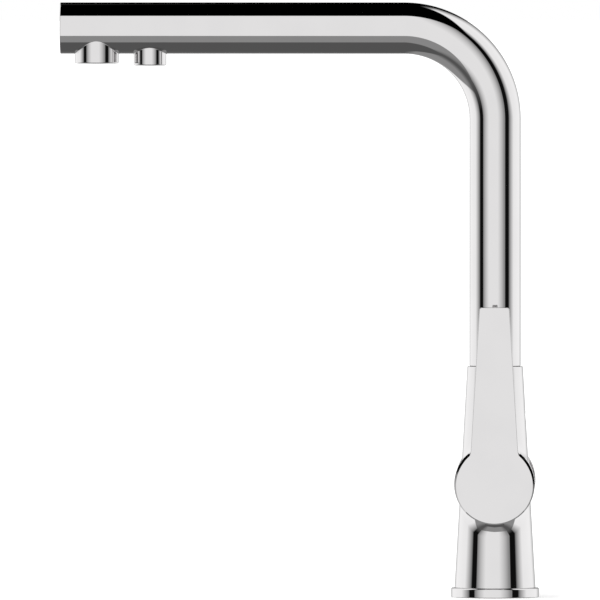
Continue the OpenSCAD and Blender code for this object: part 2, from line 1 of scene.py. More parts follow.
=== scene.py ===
import bpy
import numpy as np
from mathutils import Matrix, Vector


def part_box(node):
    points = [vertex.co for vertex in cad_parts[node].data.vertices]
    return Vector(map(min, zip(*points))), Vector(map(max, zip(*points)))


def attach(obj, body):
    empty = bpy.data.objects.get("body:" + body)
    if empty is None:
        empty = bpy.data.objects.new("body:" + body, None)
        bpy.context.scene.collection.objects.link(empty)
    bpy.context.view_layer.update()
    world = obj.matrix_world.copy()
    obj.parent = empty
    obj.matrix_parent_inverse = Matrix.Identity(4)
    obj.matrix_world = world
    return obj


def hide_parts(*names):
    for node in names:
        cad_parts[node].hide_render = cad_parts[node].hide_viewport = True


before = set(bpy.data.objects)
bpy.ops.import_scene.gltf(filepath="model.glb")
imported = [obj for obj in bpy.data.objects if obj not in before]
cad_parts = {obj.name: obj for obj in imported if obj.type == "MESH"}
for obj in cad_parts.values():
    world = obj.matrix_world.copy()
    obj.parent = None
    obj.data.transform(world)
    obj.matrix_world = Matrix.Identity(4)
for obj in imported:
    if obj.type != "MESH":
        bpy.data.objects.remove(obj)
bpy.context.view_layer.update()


# Foot: a turned brass flange under the body, polished and chromed. Its spigot screws up into the
# body, a groove below takes the gasket, and holes from below take the stud and three supply hoses.
X, Y, Z = np.eye(3)
UPRIGHT = (np.zeros(3), X, Y, Z)
DOWN = np.array([X, Y, -Z])
WELD = 1e-7
MM = 1e-3


def rounded(corners, steps=6):
    """A profile through corners (across, along, radius): straight runs, joined by arcs that touch both.
    The solid lies to the left of the way that the profile runs, so its normals point to the right."""
    point, radius = np.array(corners, float)[:, :2], np.array(corners, float)[:, 2]
    run = np.diff(point, axis=0)
    run = run / np.linalg.norm(run, axis=1, keepdims=True)
    side = np.stack([run[:, 1], -run[:, 0]], axis=1)
    places, facings = [point[:1]], [side[:1]]
    for i in range(1, len(point) - 1):
        a, b = run[i - 1], run[i]
        turn = np.arctan2(a[0] * b[1] - a[1] * b[0], a @ b)
        left = np.sign(turn)
        start = point[i] - a * radius[i] * np.tan(abs(turn) / 2)
        swing = np.linspace(0, turn, steps + 1 if radius[i] > 0 else 2)[:, None]
        facing = np.cos(swing) * side[i - 1] + np.sin(swing) * a
        places.append(start + left * radius[i] * (facing - side[i - 1]))
        facings.append(facing)
    return np.concatenate([*places, point[-1:]]), np.concatenate([*facings, side[-1:]])


def full_turn(count, start=0.0):
    """Angles once round, the last one closing on the first."""
    return start + np.linspace(0, 2 * np.pi, count + 1)


def turned(profile, axis, angles):
    """A surface of revolution: the profile's across goes out from the axis, its along goes with it."""
    (place, facing), (origin, across, around, along) = profile, axis
    out = np.cos(angles)[:, None] * across + np.sin(angles)[:, None] * around
    return (origin + place[:, :1, None] * out + place[:, 1:, None] * along,
            facing[:, :1, None] * out + facing[:, 1:, None] * along)


def cells(surface, blocks=()):
    """The quads of a grid of samples, with their four corners and the normals there, less some blocks."""
    keep = np.ones((surface[0].shape[0] - 1, surface[0].shape[1] - 1), bool)
    for low_row, high_row, low_column, high_column in blocks:
        keep[low_row:high_row, low_column:high_column] = False
    return tuple(np.stack([g[:-1, :-1], g[1:, :-1], g[1:, 1:], g[:-1, 1:]], axis=2)[keep] for g in surface)


def block_edge(grid, block):
    """The samples round a block of cells, in order, the last one closing on the first."""
    r0, r1, c0, c1 = block
    return np.concatenate([grid[r0, c0:c1], grid[r0:r1, c1], grid[r1, c1:c0:-1], grid[r1:r0:-1, c0],
                           grid[r0, c0:c0 + 1]])


def lifted(plan, axes, height):
    """Points over a plan on the first two axes, raised along the third by a height worked out from the
    plan, with the normals of that height's slope."""
    step = 1e-6
    rise = [(height(plan + step * axis) - height(plan - step * axis)) / (2 * step) for axis in np.eye(2)]
    place = plan @ axes[:2] + height(plan)[..., None] * axes[2]
    face = axes[2] - rise[0][..., None] * axes[0] - rise[1][..., None] * axes[1]
    return place, face / np.linalg.norm(face, axis=-1, keepdims=True)


def rings_to_hole(edge, axes, middle, radius, height, steps=5):
    """Rings that go by even shares from a block's edge to a round hole, over the same surface, and the hole's
    rim as directions in the plan."""
    flat = edge @ axes[:2].T
    turn = np.arctan2(flat[:, 1] - middle[1], flat[:, 0] - middle[0])
    rim = np.stack([np.cos(turn), np.sin(turn)], axis=1)
    share = np.linspace(0, 1, steps + 1)[:, None, None]
    place, face = lifted(flat * (1 - share) + (middle + radius * rim) * share, axes, height)
    place[0] = edge
    return (place, face), rim


def blind_hole(rim, axes, middle, radius, height, floor):
    """The wall and the flat floor of a hole that goes down from a surface to a set height."""
    plan = middle + radius * rim
    top = lifted(plan, axes, height)[0]
    foot = plan @ axes[:2] + floor * axes[2]
    inward = -rim @ axes[:2]
    centre = np.broadcast_to(middle @ axes[:2] + floor * axes[2], foot.shape)
    up = np.broadcast_to(axes[2], foot.shape)
    return [cells((np.stack([top, foot]), np.stack([inward, inward]))),
            cells((np.stack([foot, centre]), np.stack([up, up])))]


def skin(name, patches, body, nodes, finish):
    """One mesh from quads with their corner normals: equal corners are welded, sides that shrink to a point
    are dropped, and each face is turned to the side that its normals point to."""
    place, facing = (np.concatenate(part) for part in zip(*patches))
    keys = np.round(place.reshape(-1, 3) / WELD).astype(np.int64)
    _, first, index = np.unique(keys, axis=0, return_index=True, return_inverse=True)
    points, index = place.reshape(-1, 3)[first], index.reshape(-1, 4)
    across = np.cross(points[index[:, 2]] - points[index[:, 0]], points[index[:, 3]] - points[index[:, 1]])
    back = np.einsum("ij,ij->i", across, facing.sum(axis=1)) < 0
    index[back], facing[back] = index[back][:, ::-1], facing[back][:, ::-1]
    same = index == np.roll(index, -1, axis=1)
    folded = (index[:, 0] == index[:, 2]) | (index[:, 1] == index[:, 3])
    whole, three = (same.sum(axis=1) == 0) & ~folded, (same.sum(axis=1) == 1) & ~folded
    order = (same[three].argmax(axis=1)[:, None] + 1 + np.arange(3)) % 4
    corners = np.take_along_axis(index[three], order, axis=1)
    normals = np.take_along_axis(facing[three], order[:, :, None], axis=1)
    corner_normals = np.concatenate([facing[whole].reshape(-1, 3), normals.reshape(-1, 3)])
    mesh = bpy.data.meshes.new(name)
    mesh.from_pydata(points.tolist(), [], index[whole].tolist() + corners.tolist())
    mesh.shade_smooth()
    mesh.normals_split_custom_set(corner_normals.tolist())
    mesh.materials.append(finish)
    piece = bpy.data.objects.new(name, mesh)
    bpy.context.scene.collection.objects.link(piece)
    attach(piece, body)
    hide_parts(*nodes)


class Wire:
    """A shader socket that takes part in sums: each operator adds one Math node."""

    def __init__(self, tree, node=None, socket=0):
        self.tree, self.node = tree, node
        self.socket = node.outputs[socket] if node and len(node.outputs) else None

    def at(self, socket):
        """Another output of the same node."""
        return Wire(self.tree, self.node, socket)

    def add(self, kind, settings=None, sockets=None, out=0):
        """Any node: its settings first, then the values or links of its sockets; the wire of one output."""
        node = self.tree.nodes.new(kind)
        for key, value in (settings or {}).items():
            setattr(node, key, value)
        for key, value in (sockets or {}).items():
            self.feed(node.inputs[key], value)
        return Wire(self.tree, node, out)

    def feed(self, socket, value):
        """Links a wire to a socket, or sets a plain value on it."""
        if isinstance(value, Wire):
            self.tree.links.new(value.socket, socket)
        else:
            socket.default_value = value

    def math(self, operation, *values):
        """One Math node on wires and plain values."""
        return self.add("ShaderNodeMath", {"operation": operation}, dict(enumerate(values)))

    def ramp(self, low, high, start, end, kind="LINEAR"):
        """The value carried from low..high to start..end, held level outside."""
        limits = {"Value": self, "From Min": low, "From Max": high, "To Min": start, "To Max": end}
        return self.add("ShaderNodeMapRange", {"interpolation_type": kind}, limits)

    def __add__(self, other):
        return self.math("ADD", self, other)

    def __radd__(self, other):
        return self.math("ADD", other, self)

    def __sub__(self, other):
        return self.math("SUBTRACT", self, other)

    def __rsub__(self, other):
        return self.math("SUBTRACT", other, self)

    def __mul__(self, other):
        return self.math("MULTIPLY", self, other)

    def __rmul__(self, other):
        return self.math("MULTIPLY", other, self)

    def __truediv__(self, other):
        return self.math("DIVIDE", self, other)

    def __rtruediv__(self, other):
        return self.math("DIVIDE", other, self)

    def __gt__(self, other):
        return self.math("GREATER_THAN", self, other)

    def __abs__(self):
        return self.math("ABSOLUTE", self)


def new_finish(name, **constants):
    """A material with its constants set on the shader's own sockets, with a wire and the shader."""
    finish = bpy.data.materials.new(name)
    finish.use_nodes = True
    shader = finish.node_tree.nodes["Principled BSDF"]
    for key, value in constants.items():
        shader.inputs[key.replace("_", " ").title()].default_value = value
    return finish, Wire(finish.node_tree), shader


def grain(wire, scale, detail=2.0):
    """Noise on the piece's own coordinates, with about scale spots to a metre."""
    spot = wire.add("ShaderNodeTexCoord").at("Object")
    return wire.add("ShaderNodeTexNoise", None, {"Vector": spot, "Scale": scale, "Detail": detail})


def two_tones(wire, mask, first, second):
    """A colour between two, by a mask."""
    tones = {0: mask, 6: (*first, 1), 7: (*second, 1)}
    return wire.add("ShaderNodeMix", {"data_type": "RGBA"}, tones, out=2)


def chrome_finish():
    """Polished chrome: a neutral mirror, hazed a little and unevenly by handling and by water."""
    clear, hazed = (0.747, 0.738, 0.74), (0.73, 0.722, 0.725)
    polish, haze_dull, speck_dull = 0.02, 0.02, 0.012
    haze_span, speck_span = (0.35, 0.75), (0.6, 0.8)
    finish, wire, shader = new_finish("polished_chrome", metallic=1.0)
    haze = grain(wire, scale=45, detail=3).ramp(*haze_span, 0, 1, "SMOOTHSTEP")
    speck = grain(wire, scale=1900, detail=1).ramp(*speck_span, 0, 1, "SMOOTHSTEP")
    wire.feed(shader.inputs["Base Color"], two_tones(wire, haze, clear, hazed))
    wire.feed(shader.inputs["Roughness"], polish + haze_dull * haze + speck_dull * speck)
    return finish


chrome = chrome_finish()
flange_high = np.array(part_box("base_flange")[1])
flange_r = flange_high[0]
flange_h = 5.1 * MM
flange_edge = 0.4 * MM
flange_round = 0.8 * MM
gasket_outer = flange_r - 2 * MM
gasket_inner = gasket_outer - 3.4 * MM
gasket_h = 1.6 * MM
groove_edge = 0.1 * MM
spigot_r = gasket_inner - 1.6 * MM
spigot_top = flange_high[2]
spigot_edge = 0.3 * MM
stud_r = 3.4 * MM
stud_edge = 0.15 * MM
inlets = 3
inlet_r = 4.6 * MM
inlet_ring = 9.4 * MM
inlet_turn = np.radians(97.5)
inlet_zone = np.linspace(4.1 * MM, 15.2 * MM, 9)
inlet_reach = 12
thread_depth = 14 * MM
foot_columns = 120


def flat_underside(plan):
    """The height of the foot's underside over a plan: none."""
    return np.zeros(plan.shape[:-1])


foot_profile = rounded([
    (0, thread_depth, 0), (stud_r, thread_depth, 0), (stud_r, 0, stud_edge),
    *[(row, 0, 0) for row in inlet_zone],
    (gasket_inner, 0, 0), (gasket_inner, gasket_h, 0), (gasket_outer, gasket_h, 0),
    (gasket_outer, 0, groove_edge), (flange_r, 0, flange_edge), (flange_r, flange_h, flange_round),
    (spigot_r, flange_h, 0), (spigot_r, spigot_top, spigot_edge), (0, spigot_top, 0)])
foot = turned(foot_profile, UPRIGHT, full_turn(foot_columns, inlet_turn - np.pi / inlets))
foot_out, foot_along = foot_profile[0].T
level = np.flatnonzero(np.isclose(foot_along, 0) & (foot_out >= inlet_zone[0] - WELD)
                       & (foot_out <= inlet_zone[-1] + WELD))
foot_patches, foot_blocks = [], []
for inlet in range(inlets):
    inlet_column = foot_columns // (2 * inlets) + inlet * foot_columns // inlets
    block = (level[0], level[-1], inlet_column - inlet_reach, inlet_column + inlet_reach)
    turn = inlet_turn + inlet * 2 * np.pi / inlets
    middle = inlet_ring * np.array([np.cos(turn), np.sin(turn)])
    rings, rim = rings_to_hole(block_edge(foot[0], block), DOWN, middle, inlet_r, flat_underside)
    foot_patches += [cells(rings), *blind_hole(rim, DOWN, middle, inlet_r, flat_underside, -thread_depth)]
    foot_blocks.append(block)
skin("foot_flange", [cells(foot, foot_blocks), *foot_patches], "tap_body", ["base_flange"], chrome)


# Rubber seals: the gasket in the flange's groove, the rings of the waterways and of the valves, the washers
# over the aerators. Moulded in matt black rubber and pressed into their grooves.
def rubber_finish():
    """Matt black rubber with a fine moulded grain."""
    deep, dusty = (0.012, 0.012, 0.012), (0.035, 0.034, 0.033)
    finish, wire, shader = new_finish("seal_rubber", roughness=0.75)
    wire.feed(shader.inputs["Base Color"], two_tones(wire, grain(wire, scale=600, detail=3), deep, dusty))
    pimples = {"Strength": 0.15, "Distance": 0.1 * MM, "Height": grain(wire, scale=2500)}
    wire.feed(shader.inputs["Normal"], wire.add("ShaderNodeBump", None, pimples))
    return finish


def dress(finish, *nodes):
    """Gives CAD nodes their finish in place of the plain one."""
    for node in nodes:
        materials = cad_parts[node].data.materials
        materials.clear()
        materials.append(finish)


dress(rubber_finish(), "base_gasket", "foot_seals", "port_seals", "valve_seal", "tail_rings", "nozzle_ring",
      "main_seal", "filter_seal", "spindle_ring")


# Body: a slim cone with a cross barrel for the two valves, cast in brass, ground, polished and chromed.
# The corner between barrel and cone is rounded, as if a ball had been rolled along both.
body_high = np.array(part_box("body_casting")[1])
barrel_end = body_high[1]
body_top = body_high[2]
top_r = 15.15 * MM
top_edge = 0.45 * MM
foot_r = 22.1 * MM
foot_edge = 0.25 * MM
lean = np.arctan((foot_r - top_r) / (body_top - flange_h))
barrel_z = 62.8 * MM
barrel_r = 19.6 * MM
barrel_edge = 0.5 * MM
corner_mid = 10 * MM
corner_more = 0.8
bush_r = 12.97 * MM
bush_edge = 0.2 * MM
bush_floor = body_top - 10 * MM
socket_r = 10.85 * MM
socket_floor = body_top - 36 * MM
spigot_mouth = 0.1 * MM
mouth_r = 17.55 * MM
mouth_edge = 0.2 * MM
chamber_r = 16.6 * MM
chamber_seat = barrel_end - 23 * MM
chamber_shoulder = chamber_seat + 12 * MM
stop_z = body_top - 27.5 * MM
stop_r = 2.47 * MM
stop_floor = socket_r + MM
stop_clear = 5.5 * MM
stop_reach = 8
half_columns, side_columns = 96, 13
corner_steps, cone_steps, barrel_steps = 25, 25, 9
RIGHT = np.array([Y, Z, X])


def cone_r(z):
    """The cone's radius at a height: its radius at the foot, less the tangent of its lean times the rise."""
    return foot_r - np.tan(lean) * (z - flange_h)


def corner_r(angle):
    """The rolled ball's radius at an angle round the barrel, growing to the sides by a squared cosine."""
    return corner_mid * (1 + corner_more * np.cos(angle) ** 2)


def ball_reach(angle):
    """How far the middle of the rolled ball stands from the upright axis, less its distance to the side."""
    away = barrel_r + corner_r(angle)
    return cone_r(barrel_z + away * np.sin(angle)) + corner_r(angle) / np.cos(lean) - away * np.cos(angle)


def first_angle(up):
    """Where round the barrel the rolled corner begins, at the body's side: found by sixty halvings."""
    low, high = np.radians(1), np.radians(45)
    for _ in range(60):
        middle = (low + high) / 2
        low, high = (low, middle) if ball_reach(up * middle) > 0 else (middle, high)
    return up * high


def corner_rows(angle):
    """The rolled corner for angles round the barrel: the arc of the ball from the barrel to the cone. Where
    the ball's size changes, the normals come from the two ways across the grid."""
    ball = corner_r(angle)
    away = barrel_r + ball
    x, z = away * np.cos(angle), barrel_z + away * np.sin(angle)
    q = cone_r(z) + ball / np.cos(lean)
    y = -np.sqrt(np.maximum(q * q - x * x, 0))
    y[[0, -1]] = 0
    to_barrel = -np.stack([np.cos(angle), np.zeros_like(angle), np.sin(angle)], axis=1)
    to_cone = -np.stack([np.cos(lean) * x / q, np.cos(lean) * y / q, np.full_like(x, np.sin(lean))], axis=1)
    opening = np.arccos(np.einsum("ij,ij->i", to_barrel, to_cone))[:, None]
    share = np.linspace(0, 1, corner_steps)[:, None, None]
    arm = (np.sin((1 - share) * opening) * to_barrel + np.sin(share * opening) * to_cone) / np.sin(opening)
    place = np.stack([x, y, z], axis=1) + ball[:, None] * arm
    face = np.cross(np.gradient(place, axis=0), np.gradient(place, axis=1))[1:-1, 1:-1]
    face = face / np.linalg.norm(face, axis=-1, keepdims=True)
    facing = -arm
    facing[1:-1, 1:-1] = face * np.sign(np.einsum("ijk,ijk->ij", face, facing[1:-1, 1:-1]))[..., None]
    return place, facing


def cone_rows(contact, profile):
    """Rows up or down the cone from the corner's end, and on along a profile that is the same all round."""
    place, facing = profile
    azimuth = np.arctan2(contact[:, 1], contact[:, 0])
    out = np.stack([np.cos(azimuth), np.sin(azimuth), np.zeros_like(azimuth)], axis=1)
    share = np.linspace(0, 1, cone_steps)[1:-1, None]
    z = contact[:, 2] * (1 - share) + place[0, 1] * share
    slope = np.cos(lean) * out + np.sin(lean) * Z
    rows = cone_r(z)[..., None] * out + z[..., None] * Z
    rest = place[:, :1, None] * out + place[:, 1:, None] * Z
    rest_face = facing[:, :1, None] * out + facing[:, 1:, None] * Z
    return np.concatenate([rows, rest]), np.concatenate([np.broadcast_to(slope, rows.shape), rest_face])


def barrel_rows(angle, start):
    """The barrel from where the corner leaves it out to its rounded end, and on down the valve chamber."""
    place, facing = rounded([(barrel_r, 0, 0), (barrel_r, barrel_end, barrel_edge),
                             (mouth_r, barrel_end, mouth_edge), (mouth_r, chamber_shoulder, 0),
                             (chamber_r, chamber_shoulder, 0), (chamber_r, chamber_seat, 0),
                             (0, chamber_seat, 0)])
    place, facing = place[1:], facing[1:]
    out = np.stack([np.cos(angle), np.zeros_like(angle), np.sin(angle)], axis=1)
    share = np.linspace(0, 1, barrel_steps)[:-1, None]
    y = start * (1 - share) - place[0, 1] * share
    rows = barrel_r * out + y[..., None] * Y + barrel_z * Z
    rest = place[:, :1, None] * out - place[:, 1:, None] * Y + barrel_z * Z
    rest_face = facing[:, :1, None] * out - facing[:, 1:, None] * Y
    return np.concatenate([rows, rest]), np.concatenate([np.broadcast_to(out, rows.shape), rest_face])


def other_side(surface):
    """The same surface on the filter side, with its columns in reverse so that a ring can go on into it."""
    return tuple(g[:, ::-1] * np.array([1, -1, 1]) for g in surface)


def side_of_cone(plan):
    """How far to the right the cone's surface lies over a plan of depth and height: a circle's arc."""
    return np.sqrt(cone_r(plan[..., 1]) ** 2 - plan[..., 0] ** 2)


top_profile = rounded([(cone_r(flange_h), flange_h, 0), (top_r, body_top, top_edge),
                       (bush_r, body_top, bush_edge), (bush_r, bush_floor, 0), (socket_r, bush_floor, 0),
                       (socket_r, socket_floor, 0), (0, socket_floor, 0)])
low_profile = rounded([(0, spigot_top, 0), (spigot_r, spigot_top, 0), (spigot_r, flange_h, spigot_mouth),
                       (foot_r, flange_h, foot_edge), (top_r, body_top, 0)])
sweep = np.sin(np.linspace(-np.pi / 2, np.pi / 2, half_columns + 1))
body_patches, starts = [], []
for up, profile in ((1, [p[1:] for p in top_profile]), (-1, [p[:-1][::-1] for p in low_profile])):
    first = first_angle(up)
    angle = np.pi / 2 * up + (np.pi / 2 * up - first) * -sweep
    corner, corner_face = corner_rows(angle)
    near = [np.concatenate(pair) for pair in zip((corner, corner_face), cone_rows(corner[-1], profile))]
    ring = tuple(np.concatenate([g, f[:, 1:]], axis=1) for g, f in zip(near, other_side(near)))
    blocks = []
    if up > 0:
        rows = np.flatnonzero(abs(ring[0][:, half_columns, 2] - stop_z) < stop_clear)
        rows = rows[(rows >= len(corner)) & (rows < len(corner) + cone_steps - 2)]
        blocks = [(rows[0], rows[-1], half_columns - stop_reach, half_columns + stop_reach)]
        stop_middle = np.array([0, stop_z])
        rings, rim = rings_to_hole(block_edge(ring[0], blocks[0]), RIGHT, stop_middle, stop_r, side_of_cone)
        stop_hole = blind_hole(rim, RIGHT, stop_middle, stop_r, side_of_cone, stop_floor)
        body_patches += [cells(rings), *stop_hole]
    body_patches.append(cells(ring, blocks))
    barrel = barrel_rows(angle, corner[0][:, 1])
    body_patches += [cells(barrel), cells(other_side(barrel))]
    starts.append(first)
for low, high in ((starts[1], starts[0]), (np.pi - starts[0], np.pi - starts[1])):
    side = np.linspace(low, high, side_columns)
    barrel = barrel_rows(side, np.zeros_like(side))
    body_patches += [cells(barrel), cells(other_side(barrel))]
skin("tap_body_casting", body_patches, "tap_body", ["body_casting"], chrome)


# Swivel bush: a bearing moulded in dark plastic and pressed into the body's top. The riser turns on it,
# and its lip shows as a thin dark line between the two.
def bush_finish():
    """Black moulded plastic, a little worn to a shine where the riser turns on it."""
    deep, worn = (0.008, 0.008, 0.009), (0.022, 0.022, 0.023)
    shine, uneven = 0.45, 0.2
    finish, wire, shader = new_finish("bush_plastic")
    tone = grain(wire, scale=400, detail=3)
    wire.feed(shader.inputs["Base Color"], two_tones(wire, tone, deep, worn))
    wire.feed(shader.inputs["Roughness"], shine + uneven * tone)
    return finish


dress(bush_finish(), "swivel_bush")


# Steel small parts: the stop screw in the back of the body, the grub screws of the levers, the stem and pin
# of the mixer, the spindle's clip and the aerator's screen. Turned from stainless steel.
def steel_finish():
    """Bare stainless steel with fine turning marks."""
    dark, bright = (0.42, 0.42, 0.43), (0.6, 0.6, 0.61)
    shine, uneven = 0.2, 0.2
    finish, wire, shader = new_finish("turned_steel", metallic=1.0)
    marks = grain(wire, scale=1400, detail=4)
    wire.feed(shader.inputs["Base Color"], two_tones(wire, marks, dark, bright))
    wire.feed(shader.inputs["Roughness"], shine + uneven * marks)
    return finish


dress(steel_finish(), "stop_screw", "pivot_pin", "mixer_stem", "mixer_screw", "filter_screw",
      "spindle_clip", "main_screen")


# Inside the barrel: the moulded mixer cartridge and its brass nut on one side, the brass filter valve on
# the other, each with two lapped ceramic discs. Brass also makes the swivel tail and the elbow in the spout.
def moulded_finish(name, dark, light, roughness):
    """Moulded plastic or fired ceramic in two close tones."""
    uneven = 0.1
    finish, wire, shader = new_finish(name)
    tone = grain(wire, scale=250, detail=3)
    wire.feed(shader.inputs["Base Color"], two_tones(wire, tone, dark, light))
    wire.feed(shader.inputs["Roughness"], roughness + uneven * tone)
    return finish


def brass_finish():
    """Machined yellow brass, a little dulled."""
    tarnished, bright = (0.5, 0.34, 0.13), (0.7, 0.52, 0.24)
    shine, uneven = 0.22, 0.2
    finish, wire, shader = new_finish("machined_brass", metallic=1.0)
    dull = grain(wire, scale=300, detail=4)
    wire.feed(shader.inputs["Base Color"], two_tones(wire, dull, tarnished, bright))
    wire.feed(shader.inputs["Roughness"], shine + uneven * dull)
    return finish


dress(moulded_finish("cartridge_plastic", dark=(0.66, 0.65, 0.61), light=(0.76, 0.75, 0.72), roughness=0.35),
      "cartridge_base", "cartridge_housing", "mixer_rotor", "disc_slider")
dress(moulded_finish("lapped_ceramic", dark=(0.8, 0.79, 0.76), light=(0.87, 0.86, 0.84), roughness=0.12),
      "fixed_disc", "moving_disc", "valve_fixed_disc", "valve_moving_disc")
dress(brass_finish(), "cartridge_nut", "valve_body", "filter_spindle", "spout_tail", "filter_elbow")


# Cover rings: thin chromed domes screwed into both ends of the barrel. Each is a zone of a ball about the
# lever's pivot, so that the lever's cup swings over it.
pivot_at = barrel_end - 3.4 * MM
cover_r = barrel_r - 0.5 * MM
cover_bore = mouth_r - 2.15 * MM
cover_foot = barrel_end - 4 * MM
cover_top = barrel_end + 4 * MM
cover_edge = 0.3 * MM
cover_skirt = mouth_r - 0.05 * MM
cover_columns = 120
dome_steps = 9
ROUND_MIXER = (barrel_z * Z, X, Z, -Y)
ROUND_FILTER = (barrel_z * Z, X, Z, Y)
low_slope, high_slope = np.arcsin((np.array([barrel_end, cover_top]) - pivot_at) / cover_r)
dome = np.linspace(low_slope, high_slope, dome_steps)[:, None]
dome_face = np.concatenate([np.cos(dome), np.sin(dome)], axis=1)
dome_place = cover_r * dome_face + np.array([0, pivot_at])
cover_in = rounded([(dome_place[-1, 0], cover_top, 0), (cover_bore, cover_top, cover_edge),
                    (cover_bore, cover_foot, 0), (cover_skirt, cover_foot, 0), (cover_skirt, barrel_end, 0),
                    (dome_place[0, 0], barrel_end, 0)])
cover_profile = tuple(np.concatenate(pair) for pair in zip((dome_place, dome_face), cover_in))
for name, node, axis in (("mixer_cover_ring", "mixer_cover", ROUND_MIXER),
                         ("filter_cover_ring", "filter_cover", ROUND_FILTER)):
    cover = turned(cover_profile, axis, full_turn(cover_columns))
    skin(name, [cells(cover)], "tap_body", [node], chrome)


# Levers: one forged and polished blade with a cup-shaped hub for each valve, chromed. A grub screw in the
# hub's boss grips the stem, and a small grey plug closes its hole in the hub's underside.
lever_low, lever_high = (np.array(corner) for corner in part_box("mixer_lever"))
lever_face = -lever_low[1]
lever_rim = -lever_high[1]
lever_tip = lever_high[2] - barrel_z
blade_t = 6 * MM
lever_back = lever_face - blade_t
hub_r = lever_high[0]
hub_inner = hub_r - 1.9 * MM
edge_r = 0.35 * MM
sharp_r = 0.02 * MM
# The bevel's width and tilt at heights on the hub, which are counted in hub radii.
bevel_run = [-0.5, 0, 0.5, 0.6, 0.8]
bevel_width = np.array([0.65, 1.02, 1.4, 1.4, 1.4]) * MM
bevel_tilt = np.radians([23.2, 23.2, 30, 30, 34])
bevel_share = np.array([1, 1, 0.8, 0.6, 0.4, 0.2, 0, 0])[:, None]
bevel_end, bevel_fade = 0.76 * hub_r, 0.055 * hub_r
tip_w = 16.2 * MM
tip_corner = 1.6 * MM
root_w = 25.9 * MM
root_at = 0.75 * hub_r
web_r = 1.5 * MM
spine_top = lever_tip - 4 * MM
hub_points, web_points, tip_points, side_points = 129, 9, 9, 13
skirt_outer = hub_r - 0.015 * MM
skirt_rows = np.linspace(lever_rim + 0.7 * MM, lever_back + 0.3 * MM, 11)
skirt_columns = 240
cup_lip = lever_rim + 2 * MM
cup_edge, cup_round = 0.3 * MM, 0.4 * MM
plate_lap = lever_back + MM
boss_r = 7.5 * MM
boss_low = lever_rim + MM
boss_edge = 0.4 * MM
boss_columns = 60
plug_r = 2.5 * MM
plug_sunk = 0.1 * MM
plug_seat = np.array([0, lever_back - 3 * MM])
plug_floor = hub_inner + 0.6 * MM - barrel_z
plug_hole_r = plug_r + 0.05 * MM
plug_hole_floor = hub_inner + 0.5 * MM - barrel_z
plug_reach = 20
plug_columns, plug_rings = 48, 7


def arc(middle, radius, start, end, count):
    """An arc in the plan with the outward directions along it; a hollow arc has a negative radius."""
    turn = np.linspace(start, end, count)[:, None]
    out = np.concatenate([np.cos(turn), np.sin(turn)], axis=1)
    return middle + abs(radius) * out, np.sign(radius) * out


def lever_outline():
    """The right half of the lever seen from its face, from under the hub to the middle of the tip: the
    hub's circle, a hollow arc that touches circle and side, the straight side, the tip's corner, the tip."""
    root = np.array([root_w / 2, root_at])
    rise = np.array([tip_w / 2, lever_tip]) - root
    rise = rise / np.linalg.norm(rise)
    side = np.array([rise[1], -rise[0]])
    base = root + web_r * side
    along = -base @ rise + np.sqrt((base @ rise) ** 2 - base @ base + (hub_r + web_r) ** 2)
    web = base + along * rise
    corner = np.array([0, lever_tip - tip_corner])
    corner[0] = root[0] + (corner[1] - root[1]) * rise[0] / rise[1] - tip_corner / side[0]
    lead = np.arctan2(side[1], side[0])
    to_hub = np.arctan2(web[1], web[0])
    circle = arc(np.zeros(2), hub_r, -np.pi / 2, to_hub, hub_points)
    hollow = arc(web, -web_r, to_hub + np.pi, lead + np.pi, web_points)
    tip = arc(corner, tip_corner, lead, np.pi / 2, tip_points)
    share = np.linspace(0, 1, side_points)[1:-1, None]
    straight = hollow[0][-1] * (1 - share) + tip[0][0] * share, np.broadcast_to(side, (len(share), 2))
    middle = np.array([[0, lever_tip]]), np.array([[0.0, 1.0]])
    return tuple(np.concatenate(parts) for parts in zip(circle, hollow, straight, tip, middle))


def lever_plate(outline, out):
    """The flat plate: from a spine in the face out to the outline, over the front edge, which is a bevel
    round the hub and a rounding along the blade, down the side, round the back edge, which is sharp along
    the hub, and back to the spine."""
    count = len(outline)
    spine = np.stack([np.zeros(count), np.clip(outline[:, 1], 0, spine_top)], axis=1)
    on_blade = np.clip((outline[:, 1] - bevel_end) / bevel_fade, 0, 1)
    back_r = sharp_r + (edge_r - sharp_r) * on_blade * on_blade * (3 - 2 * on_blade)
    swing = np.linspace(0, np.pi / 2, len(bevel_share))[:, None]
    rise = outline[:, 1] / hub_r
    slope = np.interp(rise, bevel_run, bevel_tilt)
    bevel_w = np.interp(rise, bevel_run, bevel_width)
    bevel_left = bevel_w * bevel_share
    bevel_turn = np.concatenate([np.zeros((1, count)), np.tile(slope, (len(bevel_share) - 2, 1)),
                                 np.full((1, count), np.pi / 2)])
    inset = bevel_left + (edge_r * (1 - np.sin(swing)) - bevel_left) * on_blade
    drop = (bevel_w - bevel_left) * np.tan(slope)
    drop = drop + (edge_r * (1 - np.cos(swing)) - drop) * on_blade
    front_turn = bevel_turn + (swing - bevel_turn) * on_blade
    front = outline - inset[..., None] * out
    rear = outline - back_r[:, None] * (1 - np.cos(swing)[..., None]) * out
    plan = np.concatenate([spine[None], front, rear, spine[None]])
    depth = np.concatenate([np.full((1, count), lever_face), lever_face - drop,
                            lever_back + back_r * (1 - np.sin(swing)), np.full((1, count), lever_back)])
    rear_turn = np.broadcast_to(np.pi / 2 + swing, (len(swing), count))
    tilt = np.concatenate([np.zeros((1, count)), front_turn, rear_turn, np.full((1, count), np.pi)])
    return plan, depth, np.sin(tilt)[..., None] * out, np.cos(tilt)


def on_axis(plan, depth, axis):
    """Plan across the lever's axis and depth along it, set in the frame."""
    origin, across, around, along = axis
    return origin + plan[..., :1] * across + plan[..., 1:] * around + depth[..., None] * along


def under_hub(plan):
    """The underside of the hub's skirt over a plan across and along the lever's axis: a circle's arc."""
    return np.sqrt(skirt_outer ** 2 - plan[..., 0] ** 2) - barrel_z


